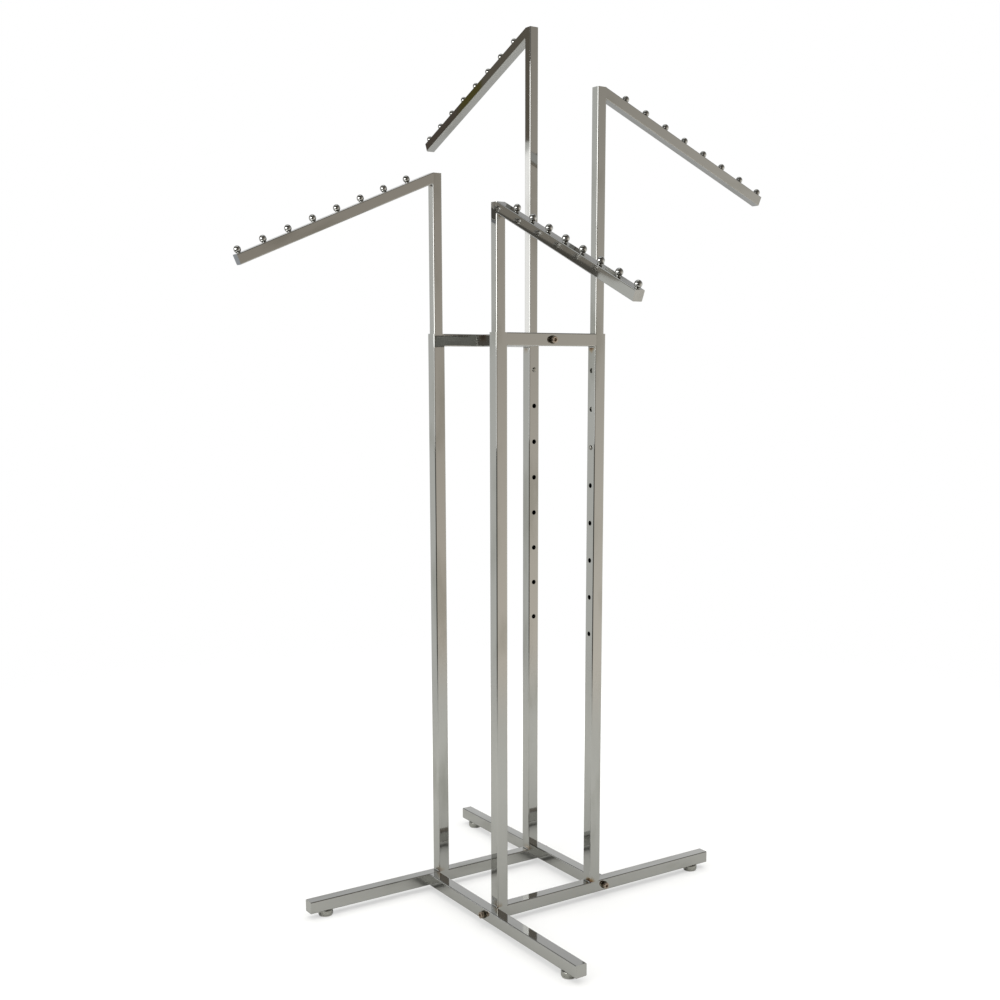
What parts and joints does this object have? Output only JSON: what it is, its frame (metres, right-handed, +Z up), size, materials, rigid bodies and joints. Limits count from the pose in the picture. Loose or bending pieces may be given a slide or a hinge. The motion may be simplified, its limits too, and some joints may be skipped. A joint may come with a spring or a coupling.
{
  "type": "four way clothing rack",
  "caption": "Free-standing chrome clothing rack with slanted hanger arms that telescope in square uprights on a pinwheel base and lock at set heights with snap buttons.",
  "frame": {"origin": "on the floor, midway between the four uprights", "axes": "+Z up along the uprights; +X is the way the front arm and front leg point, +Y the way the right arm and right leg point"},
  "size_m": [1.084, 1.084, 1.796],
  "materials": {
    "chrome_tube": "polished chrome plate on square steel tube",
    "chrome_arm": "polished chrome plate on the telescoping stems and slanted tubes",
    "chrome_ball": "polished chrome plate on steel balls",
    "glide_steel": "nickel plated turned steel",
    "screw_steel": "dark nickel plated socket head screws",
    "washer_steel": "blackened steel",
    "raw_steel": "bare machined steel inside the tubes",
    "spring_steel": "blued spring steel",
    "button_steel": "nickel plated steel",
    "nylon_white": "moulded natural nylon",
    "nylon_black": "moulded black nylon"
  },
  "bodies": {
    "frame": {"upright_left": "chrome_tube", "upright_front": "chrome_tube", "upright_right": "chrome_tube", "upright_back": "chrome_tube", "base_bar_left": "chrome_tube", "base_bar_front": "chrome_tube", "base_bar_right": "chrome_tube", "base_bar_back": "chrome_tube", "top_rail_front": "chrome_tube", "top_rail_back": "chrome_tube", "top_crossbar": "chrome_tube", "leg_end_plates": "chrome_tube", "cap_screws": "screw_steel", "washers": "washer_steel", "tapped_plugs": "raw_steel", "glide_nuts": "raw_steel", "guide_sleeves": "nylon_black"},
    "arm_left": {"arm_stem_left": "chrome_arm", "arm_tube_left": "chrome_arm", "arm_balls_left": "chrome_ball", "arm_plates_left": "chrome_arm", "spring_clip_left": "spring_steel"},
    "button_left": {"snap_button_left": "button_steel"},
    "glide_left": {"glide_cup_left": "glide_steel", "glide_sole_left": "nylon_white", "glide_stud_left": "raw_steel"},
    "arm_front": {"arm_stem_front": "chrome_arm", "arm_tube_front": "chrome_arm", "arm_balls_front": "chrome_ball", "arm_plates_front": "chrome_arm", "spring_clip_front": "spring_steel"},
    "button_front": {"snap_button_front": "button_steel"},
    "glide_front": {"glide_cup_front": "glide_steel", "glide_sole_front": "nylon_white", "glide_stud_front": "raw_steel"},
    "arm_right": {"arm_stem_right": "chrome_arm", "arm_tube_right": "chrome_arm", "arm_balls_right": "chrome_ball", "arm_plates_right": "chrome_arm", "spring_clip_right": "spring_steel"},
    "button_right": {"snap_button_right": "button_steel"},
    "glide_right": {"glide_cup_right": "glide_steel", "glide_sole_right": "nylon_white", "glide_stud_right": "raw_steel"},
    "arm_back": {"arm_stem_back": "chrome_arm", "arm_tube_back": "chrome_arm", "arm_balls_back": "chrome_ball", "arm_plates_back": "chrome_arm", "spring_clip_back": "spring_steel"},
    "button_back": {"snap_button_back": "button_steel"},
    "glide_back": {"glide_cup_back": "glide_steel", "glide_sole_back": "nylon_white", "glide_stud_back": "raw_steel"}
  },
  "joints": [
    {"name": "arm_left_height", "type": "slide", "parent": "frame", "child": "arm_left", "axis": [0, 0, 1], "range_m": [-0.2286, 0.3048], "deforming": ["snap_button_left", "spring_clip_left"]},
    {"name": "button_left_press", "type": "slide", "parent": "arm_left", "child": "button_left", "axis": [0, -1, 0], "range_m": [0, 0.0045], "stiffness_N_per_m": 2000, "springref_m": -0.003, "deforming": ["spring_clip_left"]},
    {"name": "glide_left_level", "type": "slide", "parent": "frame", "child": "glide_left", "axis": [0, 0, -1], "range_m": [0, 0.01]},
    {"name": "arm_front_height", "type": "slide", "parent": "frame", "child": "arm_front", "axis": [0, 0, 1], "range_m": [-0.1524, 0.381], "deforming": ["snap_button_front", "spring_clip_front"]},
    {"name": "button_front_press", "type": "slide", "parent": "arm_front", "child": "button_front", "axis": [1, 0, 0], "range_m": [0, 0.0045], "stiffness_N_per_m": 2000, "springref_m": -0.003, "deforming": ["spring_clip_front"]},
    {"name": "glide_front_level", "type": "slide", "parent": "frame", "child": "glide_front", "axis": [0, 0, -1], "range_m": [0, 0.01]},
    {"name": "arm_right_height", "type": "slide", "parent": "frame", "child": "arm_right", "axis": [0, 0, 1], "range_m": [-0.381, 0.1524], "deforming": ["snap_button_right", "spring_clip_right"]},
    {"name": "button_right_press", "type": "slide", "parent": "arm_right", "child": "button_right", "axis": [0, 1, 0], "range_m": [0, 0.0045], "stiffness_N_per_m": 2000, "springref_m": -0.003, "deforming": ["spring_clip_right"]},
    {"name": "glide_right_level", "type": "slide", "parent": "frame", "child": "glide_right", "axis": [0, 0, -1], "range_m": [0, 0.01]},
    {"name": "arm_back_height", "type": "slide", "parent": "frame", "child": "arm_back", "axis": [0, 0, 1], "range_m": [-0.5334, 0], "deforming": ["snap_button_back", "spring_clip_back"]},
    {"name": "button_back_press", "type": "slide", "parent": "arm_back", "child": "button_back", "axis": [-1, 0, 0], "range_m": [0, 0.0045], "stiffness_N_per_m": 2000, "springref_m": -0.003, "deforming": ["spring_clip_back"]},
    {"name": "glide_back_level", "type": "slide", "parent": "frame", "child": "glide_back", "axis": [0, 0, -1], "range_m": [0, 0.01]}
  ]
}
